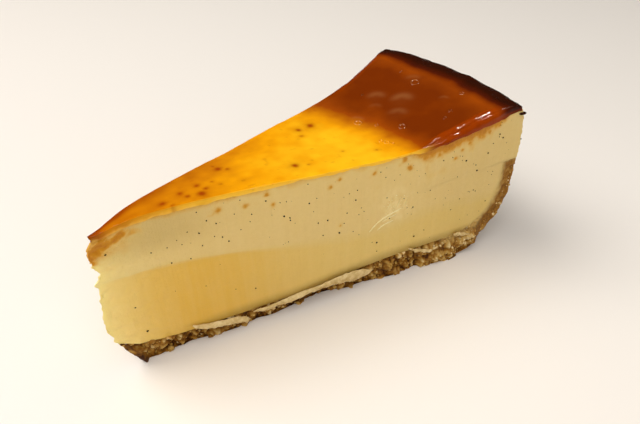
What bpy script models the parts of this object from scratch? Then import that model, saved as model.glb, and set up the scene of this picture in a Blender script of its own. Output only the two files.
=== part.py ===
"""A cut slice of creme brulee cheesecake: crumb crust, baked custard, vanilla cream and caramel glaze.

The slice is one wedge of a round cake. Each layer is a gridded cross-section, radius by height, that is
turned about the cake's axis by the angle of the slice. Its skin is then moved by small amounts: the
crumb of the crust, the ragged tip and the slow waves of the caramel. Metres, +Z up, tip towards -X.
"""

import math

import bmesh
import bpy
from mathutils import Vector, noise

# The round cake
CAKE_RADIUS = 0.127          # a 10 inch cake, at the outside of its crust
SLICE_ANGLE = math.radians(26.6)
TIP_X = -0.0626              # the cake's axis, so that the origin is under the middle of the slice
LAYER_GAP = 0.0003           # between one layer and the next
TIP_RADIUS = 0.0011          # the tip is this blunt

# Top of the glaze, by distance from the cake's axis
TIP_HEIGHT = 0.0493
SUNK_DEPTH = 0.0034          # the middle of the cake has sunk by this much
SUNK_FROM, SUNK_TO = 0.018, 0.084
RIM_RISE = 0.0060            # and climbs again to the rim
RISE_FROM, RISE_TO = 0.086, 0.118

# Caramel glaze
GLAZE_RADIUS = 0.1243
GLAZE_THICKNESS = 0.0012
GLAZE_AT_TIP = 0.0005        # more of it at the tip
GLAZE_POOL = 0.0024          # more of it at the foot of the rim
POOL_FROM, POOL_FULL, POOL_DONE, POOL_TO = 0.086, 0.101, 0.112, 0.124
GLAZE_EDGE_ROUND = 0.0011    # how far its top edge is rounded off at the rim

# Low blisters in the caramel, each at a distance from the axis and an angle, with its width
DOMES = ((0.097, 5.1, 0.0042), (0.102, 1.6, 0.0046), (0.0945, -0.7, 0.0040), (0.0935, 3.1, 0.0035))
DOME_HEIGHT = 0.00035
GLAZE_WAVE = 0.00015
GLAZE_WAVE_SIZE = 0.012

# Crumb crust: a base with an upstand
BASE_THICKNESS = 0.0060
BASE_AT_TIP = 0.0050         # thicker where the middle of the cake was pressed
BASE_TIP_LENGTH = 0.006
BASE_AT_RIM = 0.0026         # and thicker again towards the rim
BASE_RIM_FROM, BASE_RIM_TO = 0.045, 0.085
BEND_RADIUS = 0.104          # where the base starts to bend up, from the axis
OUTER_BEND_HEIGHT = 0.024
INNER_BEND = (0.0173, 0.0180)
CRUST_TOP = 0.0332
CRUST_TIP_CUT = 0.0036       # the underside of the tip has crumbled back by this much
WALL_THICKNESS = CAKE_RADIUS - BEND_RADIUS - INNER_BEND[0]

# Crumbs of the crust, which are from 0 in the cracks to 1 on top
CRUMB_SIZE = 0.0034
CRUMB_SHARPNESS = 1.6
CRUMB_MEAN = 0.55
CRUMB_RELIEF = 0.0011
CRUMB_LIFT = 0.0010          # crumbs missing along the bottom edge
CRUMB_FADE = 0.008           # no relief at the very tip
CRUST_TOP_RELIEF = 0.0008
OUTSIDE_FROM = BEND_RADIUS + 0.004

# Pale flakes of crust dragged out along the cut, each from one distance to another
FLAKES = ((0.0185, 0.0345), (0.0365, 0.0685), (0.0775, 0.0975))
FLAKE_RELIEF = 0.0010
FLAKE_END = 0.002            # a flake's ends taper over this length
FLAKE_FOOT = 0.6             # and it starts at this share of the base's height

# The line between custard and cream
LINE_AT_TIP = 0.0325
LINE_AT_RIM = 0.0212
LINE_FROM, LINE_TO = 0.010, 0.078
LINE_WAVE = 0.0016
LINE_WAVE_AT, LINE_WAVE_WIDTH = 0.098, 0.010

# Outside of the cream, above the crust: a wall, and a shoulder up to the glaze
WALL_TOP_RADIUS = 0.1262
WALL_TOP = 0.0480
WALL_STRAIGHT = 0.25         # the wall leans in above this share of its height
SHOULDER = (0.4, 0.7)        # the shoulder bulges here between wall and glaze, across and up
WALL_WAVE = 0.0004
WALL_WAVE_SIZE = 0.005

# The soft tip leans out below the glaze and is ragged
TIP_LEAN = 0.0030
TIP_LEAN_AT, TIP_LEAN_SPREAD = 0.019, 0.017
TIP_LEAN_LENGTH = 0.009
TIP_RAG = 0.0009
TIP_RAG_SIZE = 0.0040

# Places in the noise that give a well-spread unevenness
RAG_SEED = Vector((0.0, 5.0, 0.0))
LIFT_SEED = Vector((7.0, 0.0, 0.0))

# Grid cells: along the radius, up the height, round the slice
CRUST_GRID = (84, 5, 16)
CUSTARD_GRID = (30, 5, 8)
CREAM_GRID = (38, 9, 8)
GLAZE_GRID = (44, 2, 10)

# Shares of the cells along the radius that end where the flat base and the bend end
CRUST_FLAT_SHARE, CRUST_BEND_SHARE = 0.69, 0.93
CUSTARD_FLAT_SHARE = 0.86
CUSTARD_CORNER_SHARE = 0.72  # its end face starts at this share of the way round the bend

TOUCH = 1e-5                 # a point this near a surface lies on it


def smooth(low, high, value):
    t = min(max((value - low) / (high - low), 0.0), 1.0)
    return t * t * (3.0 - 2.0 * t)


def mix(a, b, t):
    return a + (b - a) * t


def glaze_top(r):
    sunk = SUNK_DEPTH * smooth(SUNK_FROM, SUNK_TO, r)
    rise = RIM_RISE * smooth(RISE_FROM, RISE_TO, r)
    return TIP_HEIGHT - sunk + rise


def glaze_thickness(r):
    pool = smooth(POOL_FROM, POOL_FULL, r) - smooth(POOL_DONE, POOL_TO, r)
    tip = 1.0 - smooth(0.0, SUNK_FROM, r)
    return GLAZE_THICKNESS + GLAZE_POOL * pool + GLAZE_AT_TIP * tip


def cream_top(r):
    return glaze_top(r) - glaze_thickness(r) - LAYER_GAP


def layer_line(r):
    fall = (LINE_AT_TIP - LINE_AT_RIM) * smooth(LINE_FROM, LINE_TO, r)
    wave = LINE_WAVE * math.exp(-((r - LINE_WAVE_AT) / LINE_WAVE_WIDTH) ** 2)
    return LINE_AT_TIP - fall + wave


def base_top(r):
    tip = BASE_AT_TIP * math.exp(-r / BASE_TIP_LENGTH)
    rim = BASE_AT_RIM * smooth(BASE_RIM_FROM, BASE_RIM_TO, r)
    return BASE_THICKNESS + tip + rim


def inner_bend(angle, gap=0.0):
    """The inside of the crust's bend, from flat (0) to upright (a right angle)."""
    height = base_top(BEND_RADIUS) + INNER_BEND[1]
    r = BEND_RADIUS + (INNER_BEND[0] - gap) * math.sin(angle)
    return r, height - (INNER_BEND[1] - gap) * math.cos(angle)


def outer_bend(angle):
    r = BEND_RADIUS + (CAKE_RADIUS - BEND_RADIUS) * math.sin(angle)
    return r, OUTER_BEND_HEIGHT * (1.0 - math.cos(angle))


def outer_height(r):
    """Height of the outside of the crust's bend at a distance from the axis."""
    share = min(max((r - BEND_RADIUS) / (CAKE_RADIUS - BEND_RADIUS), 0.0), 1.0)
    return OUTER_BEND_HEIGHT * (1.0 - math.sqrt(1.0 - share * share))


def wall(t):
    """The outside of the cream, from the crust's top (0) to the shoulder (1)."""
    r = mix(CAKE_RADIUS, WALL_TOP_RADIUS, smooth(WALL_STRAIGHT, 1.0, t))
    return r, mix(CRUST_TOP + LAYER_GAP, WALL_TOP, t)


def line(start, end):
    return lambda t: (mix(start[0], end[0], t), mix(start[1], end[1], t))


def polyline(points):
    """A line through the points, with an equal share of its parameter for each stretch."""
    stretches = len(points) - 1

    def at(t):
        index = min(int(t * stretches + TOUCH), stretches - 1)
        return line(points[index], points[index + 1])(t * stretches - index)

    return at


def patch(bottom, top, left, right):
    """A surface (u, v) between four edges that meet at its corners."""

    def at(u, v):
        edges = [
            (1 - v) * b + v * t + (1 - u) * l + u * r
            for b, t, l, r in zip(bottom(u), top(u), left(v), right(v))
        ]
        corners = [
            (1 - u) * (1 - v) * b0 + u * (1 - v) * b1 + (1 - u) * v * t0 + u * v * t1
            for b0, b1, t0, t1 in zip(bottom(0), bottom(1), top(0), top(1))
        ]
        return edges[0] - corners[0], edges[1] - corners[1]

    return at


def crust_section():
    inner_top = inner_bend(math.pi / 2)[1]

    def at(u, v):
        if u < CRUST_FLAT_SHARE:
            t = u / CRUST_FLAT_SHARE
            inner_r = mix(TIP_RADIUS, BEND_RADIUS, t)
            outer = (mix(TIP_RADIUS + CRUST_TIP_CUT, BEND_RADIUS, t), 0.0)
            inner = (inner_r, base_top(inner_r))
        elif u < CRUST_BEND_SHARE:
            t = (u - CRUST_FLAT_SHARE) / (CRUST_BEND_SHARE - CRUST_FLAT_SHARE)
            outer, inner = outer_bend(t * math.pi / 2), inner_bend(t * math.pi / 2)
        else:
            t = (u - CRUST_BEND_SHARE) / (1 - CRUST_BEND_SHARE)
            outer = (CAKE_RADIUS, mix(OUTER_BEND_HEIGHT, CRUST_TOP, t))
            inner = (CAKE_RADIUS - WALL_THICKNESS, mix(inner_top, CRUST_TOP, t))
        return line(outer, inner)(v)

    return at


def line_meets_bend(gap):
    """The angle round the bend at which the layer line, raised by a gap, reaches the crust."""
    height = base_top(BEND_RADIUS) + INNER_BEND[1]
    level = layer_line(CAKE_RADIUS - WALL_THICKNESS) + gap
    return math.acos((height - level) / (INNER_BEND[1] - LAYER_GAP))


def custard_section():
    end_angle = line_meets_bend(0.0)
    corner_angle = end_angle * CUSTARD_CORNER_SHARE
    end = inner_bend(end_angle, LAYER_GAP)

    def bottom(u):
        if u < CUSTARD_FLAT_SHARE:
            r = mix(TIP_RADIUS, BEND_RADIUS, u / CUSTARD_FLAT_SHARE)
            return r, base_top(r) + LAYER_GAP
        t = (u - CUSTARD_FLAT_SHARE) / (1 - CUSTARD_FLAT_SHARE)
        return inner_bend(t * corner_angle, LAYER_GAP)

    def top(u):
        r = mix(TIP_RADIUS, end[0], u)
        return (r, layer_line(r)) if u < 1 else end

    def right(v):
        return inner_bend(mix(corner_angle, end_angle, v), LAYER_GAP)

    return patch(bottom, top, line(bottom(0), top(0)), right)


def cream_section():
    upright = inner_bend(math.pi / 2, LAYER_GAP)
    rim = (GLAZE_RADIUS, cream_top(GLAZE_RADIUS))
    top_of_wall = wall(1.0)
    shoulder = (mix(top_of_wall[0], rim[0], SHOULDER[0]), mix(top_of_wall[1], rim[1], SHOULDER[1]))
    start = inner_bend(line_meets_bend(LAYER_GAP), LAYER_GAP)
    over_crust = (upright[0], CRUST_TOP + LAYER_GAP)
    right = polyline([start, upright, over_crust, *map(wall, (0.0, 0.25, 0.5, 0.75, 1.0)), shoulder, rim])

    def bottom(u):
        r = mix(TIP_RADIUS, start[0], u)
        return (r, layer_line(r) + LAYER_GAP) if u < 1 else start

    def top(u):
        r = mix(TIP_RADIUS, rim[0], u)
        return r, cream_top(r)

    return patch(bottom, top, line(bottom(0), top(0)), right)


def glaze_section():
    def at(u, v):
        r = mix(TIP_RADIUS, GLAZE_RADIUS, u)
        low = glaze_top(r) - glaze_thickness(r)
        rounded = GLAZE_EDGE_ROUND * smooth(GLAZE_RADIUS - 2 * GLAZE_EDGE_ROUND, GLAZE_RADIUS, r)
        return r - rounded * v / 2, mix(low, glaze_top(r) - rounded / 2, v)

    return at


def turned(section, grid):
    """A solid made by turning a gridded cross-section through the slice's angle about the cake's axis."""
    along, up, around = grid
    mesh = bmesh.new()
    bmesh.ops.create_grid(mesh, x_segments=along, y_segments=up, size=0.5)
    half = SLICE_ANGLE / 2
    for vert in mesh.verts:
        u, v = round(vert.co.x + 0.5, 6), round(vert.co.y + 0.5, 6)
        r, z = section(u, v)
        vert.co = (r * math.cos(half), -r * math.sin(half), z)
    bmesh.ops.spin(
        mesh,
        geom=mesh.verts[:] + mesh.edges[:] + mesh.faces[:],
        axis=(0, 0, 1),
        cent=(0, 0, 0),
        angle=SLICE_ANGLE,
        steps=around,
    )
    bmesh.ops.recalc_face_normals(mesh, faces=mesh.faces)
    return mesh


def radius_of(point):
    return math.hypot(point.x, point.y)


def outward(point):
    return Vector((point.x, point.y, 0.0)).normalized()


def cut_side(point):
    """-1 on the near cut face, 1 on the far one, 0 between them."""
    share = math.atan2(point.y, point.x) / (SLICE_ANGLE / 2)
    return round(share) if abs(abs(share) - 1) < TOUCH * 100 else 0


def cut_normal(side):
    half = SLICE_ANGLE / 2
    return Vector((-math.sin(half), side * math.cos(half), 0.0))


def crumb(point):
    """Rounded crumbs, from 0 in the cracks between them to 1 on top."""
    nearest, second = noise.voronoi(point / CRUMB_SIZE)[0][:2]
    return min(max(second - nearest, 0.0) * CRUMB_SHARPNESS, 1.0)


def flake(r, z):
    """1 on a dragged flake, 0 off it, on the near cut face of the base."""
    if z < FLAKE_FOOT * base_top(r) or r > BEND_RADIUS:
        return 0.0
    return max(smooth(a, a + FLAKE_END, r) - smooth(b - FLAKE_END, b, r) for a, b in FLAKES)


def lean_tip(mesh):
    """Leans the soft tip out and makes it ragged. It moves every layer alike, so that they stay clear."""
    for vert in mesh.verts:
        z = vert.co.z
        lean = TIP_LEAN * math.exp(-((z - TIP_LEAN_AT) / TIP_LEAN_SPREAD) ** 2)
        rag = TIP_RAG * noise.noise(RAG_SEED + Vector((0.0, 0.0, z / TIP_RAG_SIZE)))
        vert.co.x -= (lean + rag) * math.exp(-radius_of(vert.co) / TIP_LEAN_LENGTH)


def crumble_crust(mesh):
    """Crumbs on the cut faces, the outside and the top of the upstand. The underside stays flat."""
    for vert in mesh.verts:
        point = vert.co.copy()
        r = radius_of(point)
        side = cut_side(point)
        fade = smooth(0.0, CRUMB_FADE, r)
        if side:
            relief = (crumb(point) - CRUMB_MEAN) * CRUMB_RELIEF * fade
            if side < 0:
                relief += FLAKE_RELIEF * flake(r, point.z)
            vert.co += cut_normal(side) * relief
            if point.z < TOUCH and r < BEND_RADIUS:
                missing = max(noise.noise(point / CRUMB_SIZE + LIFT_SEED), 0.0)
                vert.co.z += CRUMB_LIFT * missing * fade
        on_bend = r > OUTSIDE_FROM and point.z < outer_height(r) + TOUCH
        if on_bend or r > CAKE_RADIUS - TOUCH:
            vert.co += outward(point) * (crumb(point) - 1.0) * CRUMB_RELIEF
        if abs(point.z - CRUST_TOP) < TOUCH:
            vert.co.z -= CRUST_TOP_RELIEF * crumb(point)


def roughen_cream(mesh):
    """The uncut outside of the cream, which the tin has left a little uneven."""
    for vert in mesh.verts:
        if radius_of(vert.co) > WALL_TOP_RADIUS - TOUCH and vert.co.z > wall(TOUCH)[1]:
            wave = noise.noise(vert.co / WALL_WAVE_SIZE) - 1.0
            vert.co += outward(vert.co) * WALL_WAVE * wave


def blister_glaze(mesh):
    """Slow waves and low blisters in the top of the caramel."""
    for vert in mesh.verts:
        point = vert.co.copy()
        r = radius_of(point)
        if point.z < glaze_top(r) - glaze_thickness(r) / 2:
            continue
        angle = math.atan2(point.y, point.x)
        for dome_r, dome_degrees, width in DOMES:
            away = math.hypot(r - dome_r, (angle - math.radians(dome_degrees)) * r) / width
            vert.co.z += DOME_HEIGHT * math.exp(-away * away)
        vert.co.z += GLAZE_WAVE * noise.noise(point / GLAZE_WAVE_SIZE)


def material(name, colour, roughness, coat=0.0):
    made = bpy.data.materials.new(name)
    made.use_nodes = True
    shader = made.node_tree.nodes["Principled BSDF"]
    shader.inputs["Base Color"].default_value = (*colour, 1.0)
    shader.inputs["Roughness"].default_value = roughness
    shader.inputs["Metallic"].default_value = 0.0
    shader.inputs["Coat Weight"].default_value = coat
    return made


def add_layer(name, mesh, finish, collection):
    lean_tip(mesh)
    data = bpy.data.meshes.new(name)
    mesh.to_mesh(data)
    mesh.free()
    data.materials.append(finish)
    data.shade_smooth()
    data.set_sharp_from_angle(angle=math.radians(40))
    layer = bpy.data.objects.new(name, data)
    layer.location = (TIP_X, 0.0, 0.0)
    collection.objects.link(layer)
    return layer


def main():
    for old in list(bpy.data.objects):
        bpy.data.objects.remove(old)
    cake = bpy.data.collections.new("creme_brulee_cake_slice")
    bpy.context.scene.collection.children.link(cake)

    crust = turned(crust_section(), CRUST_GRID)
    crumble_crust(crust)
    add_layer("crumb_crust", crust, material("crumb", (0.40, 0.25, 0.11), 0.85), cake)

    custard = turned(custard_section(), CUSTARD_GRID)
    add_layer("baked_custard", custard, material("custard", (0.83, 0.60, 0.22), 0.45), cake)

    cream = turned(cream_section(), CREAM_GRID)
    roughen_cream(cream)
    add_layer("vanilla_cream", cream, material("cream", (0.82, 0.70, 0.42), 0.50), cake)

    glaze = turned(glaze_section(), GLAZE_GRID)
    blister_glaze(glaze)
    add_layer("caramel_glaze", glaze, material("caramel", (0.75, 0.30, 0.02), 0.12, 1.0), cake)


main()
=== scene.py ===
"""The looks of a cut slice of creme brulee cheesecake.

Every layer of the frame is replaced by a fine skin made from the same sizes: radius and height of a
cross-section, turned about the cake's axis. Seeds, crumbs, flakes and bubbles are pieces of their own.
Metres, +Z up, the tip towards -X and the near cut face towards -Y. Lists of places are in millimetres.
"""

import itertools
import math

import bmesh
import bpy
import numpy as np
from mathutils import Matrix, Vector, noise


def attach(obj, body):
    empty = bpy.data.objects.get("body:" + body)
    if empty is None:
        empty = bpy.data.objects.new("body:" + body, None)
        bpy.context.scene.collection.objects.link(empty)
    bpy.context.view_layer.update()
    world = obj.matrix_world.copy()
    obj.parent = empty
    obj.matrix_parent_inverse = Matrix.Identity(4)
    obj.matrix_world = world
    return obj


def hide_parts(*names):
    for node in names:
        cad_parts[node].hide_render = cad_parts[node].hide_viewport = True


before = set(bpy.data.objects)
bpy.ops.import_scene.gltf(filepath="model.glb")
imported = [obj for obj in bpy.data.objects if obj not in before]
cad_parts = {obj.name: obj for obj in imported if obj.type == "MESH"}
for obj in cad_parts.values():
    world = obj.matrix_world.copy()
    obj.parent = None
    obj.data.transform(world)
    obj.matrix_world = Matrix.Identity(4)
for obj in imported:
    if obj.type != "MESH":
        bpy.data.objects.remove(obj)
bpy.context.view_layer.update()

MM = 0.001
FLAT = np.array((1.0, 1.0, 0.0))
ALMOST_ONE = 0.999
BLACK, WHITE = (0, 0, 0), (255, 255, 255)

# Below, a FADE is where something begins and where it is full. A BAND also says where it ends again.

# The round cake
CAKE_RADIUS = 0.127
SLICE_ANGLE = math.radians(26.6)
HALF_ANGLE = SLICE_ANGLE / 2
TIP_X = -0.0626
TIP_RADIUS = 0.0011

# Top of the glaze, by distance from the cake's axis
TIP_HEIGHT = 0.0493
SUNK_DEPTH = 0.0034
SUNK_FADE = (0.018, 0.084)
RIM_RISE = 0.006
RIM_FADE = (0.086, 0.118)

# Caramel glaze
GLAZE_RADIUS = 0.1243
GLAZE_THICKNESS = 0.0012
GLAZE_AT_TIP = 0.0005
GLAZE_POOL = 0.0024
POOL_BAND = (0.086, 0.101, 0.112, 0.124)
GLAZE_EDGE_ROUND = 0.0011
CUT_EDGE_ROUND = 0.00026
GLAZE_PROUD = 0.00012
# Where the caramel is thick at the cut, and where it is thick enough to sag there
THICK_BAND = (0.088, 0.098, 0.114, 0.123)
SAG_BAND = (0.0885, 0.098, 0.1125, 0.1205)
SAG = 0.0027
# Where the caramel turns brown, at the near and at the far cut, and where it is burnt and charred
BROWN_FROM = (0.0892, 0.0828)
BURNT_FROM = 0.1134
CHARRED_FROM = 0.118

# Low blisters in the caramel: distance in millimetres, degrees from the middle plane, width and height in
# millimetres, and how strongly a pale reflection is painted on each
DOMES = ((97.0, 4.9, 3.4, 0.16, 0.8), (100.3, 0.4, 4.0, 0.18, 1.0), (95.0, -1.9, 3.4, 0.14, 0.7),
         (93.5, 3.1, 2.4, 0.12, 0.35), (108.5, -5.0, 1.7, 0.1, 0.5), (110.3, 3.0, 2.8, 0.12, 0.5),
         (85.2, 2.6, 2.2, 0.1, 0.6))
GLAZE_WAVE = 0.00015
GLAZE_WAVE_SIZE = 0.012

# Burst bubbles, which left a small ring each: millimetres from the axis, degrees, radius in millimetres
RINGS = ((109.5, 2.1, 1.25), (83.8, 1.5, 1.1), (92.2, -5.3, 1.0), (114.1, -6.0, 0.7), (87.2, -1.6, 0.6),
         (111.8, 6.2, 0.4), (106.0, -8.2, 0.5), (82.6, -6.9, 0.6), (83.6, -7.9, 0.7), (84.8, -8.8, 0.4),
         (96.0, 7.8, 0.3), (103.0, -9.0, 0.4))
RING_RIDGE = 0.00018

# Crumb crust
BASE_THICKNESS = 0.006
BASE_AT_TIP = 0.005
BASE_TIP_LENGTH = 0.006
BASE_AT_RIM = 0.0026
BASE_RIM_FADE = (0.045, 0.085)
BEND_RADIUS = 0.104
OUTER_BEND_HEIGHT = 0.024
INNER_BEND = (0.0173, 0.018)
CRUST_TOP = 0.0332
CRUST_TIP_CUT = 0.0036
WALL_THICKNESS = CAKE_RADIUS - BEND_RADIUS - INNER_BEND[0]
CRUST_FLAT_SHARE, CRUST_BEND_SHARE = 0.69, 0.93
CRUST_TIP_FADE = (-0.002, 0.005)
FOOT_SHARE = 0.45
STANDING_FADE = (0.1125, 0.1175)
PALER_FADE = (0.097, 0.107)

# The line between custard and cream
LINE_AT_TIP = 0.0325
LINE_AT_RIM = 0.0212
LINE_FADE = (0.01, 0.078)
LINE_WAVE = 0.0016
LINE_WAVE_AT, LINE_WAVE_WIDTH = 0.098, 0.01

# Outside of the cream, above the crust
WALL_TOP_RADIUS = 0.1262
WALL_TOP = 0.048
WALL_STRAIGHT = 0.25
SHOULDER = (0.4, 0.7)

# The soft tip: height and how far it leans out, in millimetres
TIP_EDGE = ((0.0, 3.0), (6.5, 3.1), (10.2, 2.7), (12.6, 3.5), (17.3, 4.6), (21.7, 4.3), (24.4, 3.9),
            (29.3, 3.0), (32.8, 3.1), (35.4, 1.2), (38.0, 2.4), (40.9, 2.8), (43.3, 2.4), (45.8, 0.8),
            (47.0, 1.4))
TIP_LEAN_LENGTH = 0.009
TIP_RAG = 0.0004
TIP_RAG_SIZE = 0.0016
RAG_SEED = Vector((0.0, 5.0, 0.0))

# Where the top has settled or risen
SETTLE_FADE = (0.034, 0.046)
TIP_DROOP, TIP_DROOP_LENGTH = 0.0023, 0.0078
FAR_RISE = 0.001
FAR_RISE_BAND = (0.04, 0.066, 0.094, 0.105)
LIP_FADE = (0.1145, 0.1208)
LIP_RISE, LIP_RISE_MIDDLE = 0.0006, 0.0006

# Where the knife scuffed the near cut face
SCUFF_R, SCUFF_Z, SCUFF_RADIUS = 0.0828, 0.0285, 0.0052

# The photograph's camera
FOCAL_PIXELS = 569.5
PHOTO_WIDTH = 640
CAMERA_PLACE = (TIP_X - 0.01843, -0.11189, 0.13069)
CAMERA_HEADING = math.radians(37.356)
CAMERA_PITCH = math.radians(37.815)
CAMERA_ROLL = math.radians(-1.184)


def smooth(begin, full, value):
    """0 where it begins and 1 where it is full, whichever is the higher, and level beyond both."""
    t = np.clip((value - begin) / (full - begin), 0.0, 1.0)
    return t * t * (3.0 - 2.0 * t)


def mix(a, b, t):
    return a + (b - a) * t


def band(value, rise_from, rise_full, fall_from, fall_to):
    """1 between the middle two values, and 0 beyond the outer two."""
    return smooth(rise_from, rise_full, value) - smooth(fall_from, fall_to, value)


def hump(value, width, middle=0.0):
    """1 at the middle, fading over this width to both sides."""
    return np.exp(-(((value - middle) / width) ** 2))


def hashed(cells, seed):
    """A random number from 0 to 1 for each whole-numbered cell."""
    value = cells[..., 0] * 374761393 + cells[..., 1] * 668265263 + cells[..., 2] * 1440662683
    value = (value + seed * 974634777) & 0xFFFFFFFF
    value = ((value ^ (value >> 15)) * 2246822519) & 0xFFFFFFFF
    value = ((value ^ (value >> 13)) * 3266489917) & 0xFFFFFFFF
    return ((value ^ (value >> 16)) & 0xFFFFFF) / 0xFFFFFF


def waves(points, size, seed=0, octaves=1):
    """Smooth noise from -1 to 1 whose features are about this size, or these sizes along x, y and z."""
    total, weight = 0.0, 0.0
    for octave in range(octaves):
        scaled = points / np.asarray(size) * 2**octave + 17.3 * seed
        base = np.floor(scaled).astype(np.int64)
        part = scaled - base
        part = part * part * (3.0 - 2.0 * part)
        value = 0.0
        for corner in itertools.product((0, 1), repeat=3):
            share = np.prod(np.where(np.array(corner) == 1, part, 1.0 - part), axis=-1)
            value = value + share * hashed(base + np.array(corner), seed + octave)
        total = total + (2.0 * value - 1.0) / 2**octave
        weight += 1.0 / 2**octave
    return total / weight


def grains(points, size, seed=0):
    """Round grains about this size: height from 0 in the cracks to 1 on top, and a random number each."""
    scaled = points / np.asarray(size)
    base = np.floor(scaled).astype(np.int64)
    nearest = np.full(len(points), 9.0)
    second = np.full(len(points), 9.0)
    tag = np.zeros(len(points))
    for corner in itertools.product((-1, 0, 1), repeat=3):
        cell = base + np.array(corner)
        centre = cell + np.stack([hashed(cell, seed + k) for k in range(3)], axis=-1)
        away = np.linalg.norm(scaled - centre, axis=-1)
        closer = away < nearest
        second = np.where(closer, nearest, np.minimum(second, away))
        tag = np.where(closer, hashed(cell, seed + 3), tag)
        nearest = np.minimum(nearest, away)
    return np.clip((second - nearest) * 1.6, 0.0, 1.0), tag


def glaze_top(r):
    sunk = SUNK_DEPTH * smooth(*SUNK_FADE, r)
    rise = RIM_RISE * smooth(*RIM_FADE, r)
    return TIP_HEIGHT - sunk + rise


def glaze_thickness(r):
    pool = GLAZE_POOL * band(r, *POOL_BAND)
    return GLAZE_THICKNESS + pool + GLAZE_AT_TIP * smooth(SUNK_FADE[0], 0.0, r)


def cream_top(r):
    return glaze_top(r) - glaze_thickness(r)


def layer_line(r):
    fall = (LINE_AT_TIP - LINE_AT_RIM) * smooth(*LINE_FADE, r)
    return LINE_AT_TIP - fall + LINE_WAVE * hump(r, LINE_WAVE_WIDTH, LINE_WAVE_AT)


def base_top(r):
    tip = BASE_AT_TIP * np.exp(-r / BASE_TIP_LENGTH)
    rim = BASE_AT_RIM * smooth(*BASE_RIM_FADE, r)
    return BASE_THICKNESS + tip + rim


BEND_HEIGHT = base_top(BEND_RADIUS) + INNER_BEND[1]


def inner_bend(angle):
    return BEND_RADIUS + INNER_BEND[0] * np.sin(angle), BEND_HEIGHT - INNER_BEND[1] * np.cos(angle)


def outer_bend(angle):
    r = BEND_RADIUS + (CAKE_RADIUS - BEND_RADIUS) * np.sin(angle)
    return r, OUTER_BEND_HEIGHT * (1.0 - np.cos(angle))


def wall(t):
    r = mix(CAKE_RADIUS, WALL_TOP_RADIUS, smooth(WALL_STRAIGHT, 1.0, t))
    return r, mix(CRUST_TOP, WALL_TOP, t)


def line_meets_bend():
    return math.acos((BEND_HEIGHT - layer_line(CAKE_RADIUS - WALL_THICKNESS)) / INNER_BEND[1])


def polyline(points):
    shares = np.linspace(0.0, 1.0, len(points))
    across, up = zip(*points)
    return lambda t: (np.interp(t, shares, across), np.interp(t, shares, up))


def patch(bottom, top, left, right):
    """A surface (u, v) between four edges that meet at its corners."""

    def at(u, v):
        below, above = mix(*ends(bottom, u), u), mix(*ends(top, u), u)
        edges = mix(np.array(bottom(u)), np.array(top(u)), v) + mix(np.array(left(v)), np.array(right(v)), u)
        return edges - mix(below, above, v)

    def ends(edge, u):
        return [np.array(edge(end + 0.0 * u)) for end in (0.0, 1.0)]

    return at


def crust_section(u, v):
    flat = np.clip(u / CRUST_FLAT_SHARE, 0.0, 1.0)
    bend = np.clip((u - CRUST_FLAT_SHARE) / (CRUST_BEND_SHARE - CRUST_FLAT_SHARE), 0.0, 1.0) * math.pi / 2
    stand = np.clip((u - CRUST_BEND_SHARE) / (1 - CRUST_BEND_SHARE), 0.0, 1.0)
    outer_r, outer_z = outer_bend(bend)
    outer_r = np.where(u < CRUST_FLAT_SHARE, mix(TIP_RADIUS + CRUST_TIP_CUT, BEND_RADIUS, flat), outer_r)
    outer_z = mix(outer_z, CRUST_TOP, stand)
    bend_r, bend_z = inner_bend(bend)
    inner_r = np.where(u < CRUST_FLAT_SHARE, mix(TIP_RADIUS, BEND_RADIUS, flat), bend_r)
    inner_z = np.where(u < CRUST_FLAT_SHARE, base_top(inner_r), mix(bend_z, CRUST_TOP, stand))
    return mix(outer_r, inner_r, v), mix(outer_z, inner_z, v)


def custard_section():
    end_angle = line_meets_bend()
    corner_angle = end_angle * 0.72
    end_r = inner_bend(end_angle)[0]
    flat_share = 0.86

    def bottom(u):
        flat_r = mix(TIP_RADIUS, BEND_RADIUS, u / flat_share)
        bend_r, bend_z = inner_bend(np.clip((u - flat_share) / (1 - flat_share), 0.0, 1.0) * corner_angle)
        flat = u < flat_share
        return np.where(flat, flat_r, bend_r), np.where(flat, base_top(flat_r), bend_z)

    def top(u):
        r = mix(TIP_RADIUS, end_r, u)
        return r, layer_line(r)

    def left(v):
        return TIP_RADIUS + 0.0 * v, mix(base_top(TIP_RADIUS), layer_line(TIP_RADIUS), v)

    def right(v):
        return inner_bend(mix(corner_angle, end_angle, v))

    return patch(bottom, top, left, right)


def cream_section():
    rim = (GLAZE_RADIUS, cream_top(GLAZE_RADIUS))
    top_of_wall = wall(1.0)
    shoulder = (mix(top_of_wall[0], rim[0], SHOULDER[0]), mix(top_of_wall[1], rim[1], SHOULDER[1]))
    start_angle = line_meets_bend()
    start = inner_bend(start_angle)
    upright = inner_bend(math.pi / 2)
    bend = [inner_bend(mix(start_angle, math.pi / 2, t)) for t in (0.25, 0.5, 0.75, 1.0)]
    outside = [wall(t) for t in np.linspace(0.0, 1.0, 9)]
    right = polyline([start, *bend, (upright[0], CRUST_TOP), *outside, shoulder, rim])

    def bottom(u):
        r = mix(TIP_RADIUS, start[0], u)
        return r, layer_line(r)

    def top(u):
        r = mix(TIP_RADIUS, rim[0], u)
        return r, cream_top(r)

    def left(v):
        return TIP_RADIUS + 0.0 * v, mix(layer_line(TIP_RADIUS), cream_top(TIP_RADIUS), v)

    return patch(bottom, top, left, right)


def pooled(r):
    """1 where the caramel is thick enough to sag at the cut, else 0."""
    return band(r, *SAG_BAND)


def near_lift(r, side):
    """How much higher the caramel's lower edge lies on the near cut, as the caramel is thinner there."""
    return (0.0006 * band(r, 0.034, 0.058, 0.082, 0.092) + 0.0012 * hump(r, 0.006, 0.0985)) * (side < 0)


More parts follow.
